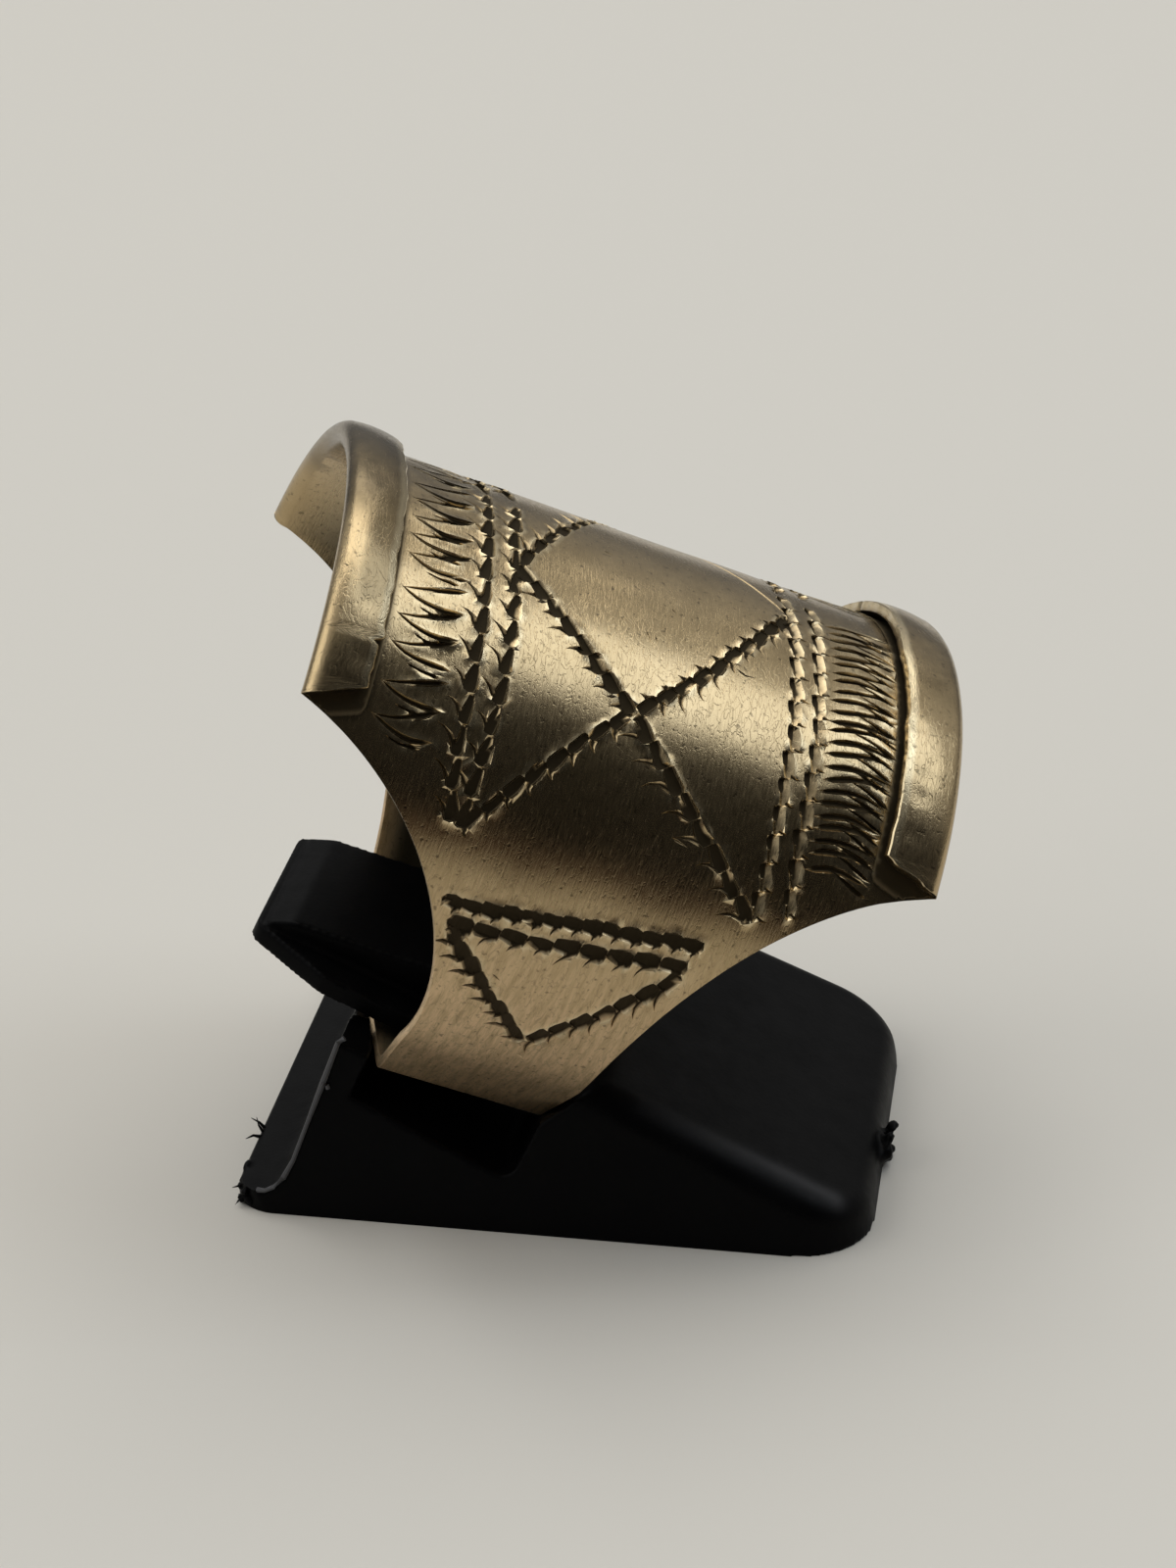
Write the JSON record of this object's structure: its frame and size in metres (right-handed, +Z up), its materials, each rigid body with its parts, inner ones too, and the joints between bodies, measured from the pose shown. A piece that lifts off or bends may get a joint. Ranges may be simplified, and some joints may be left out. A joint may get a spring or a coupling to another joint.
{
  "type": "silver ring on clip stand",
  "caption": "Wide saddle ring of folded sheet silver with cut line ornament, its shank held in the slot of a small black plastic wedge stand under a springy tongue.",
  "frame": {"origin": "middle of the stand's flat foot, on the surface that it stands on", "axes": "+Z up, +X along the stand from its tall left wall to its low nose, +Y away from the side with the ring's engraved near flank"},
  "size_m": [0.0266, 0.0246, 0.0282],
  "materials": {
    "silver": "satin, tarnished warm grey",
    "black_plastic": "satin moulded"
  },
  "bodies": {
    "root": {"ring_band": "silver", "clip_stand": "black_plastic"}
  },
  "joints": []
}
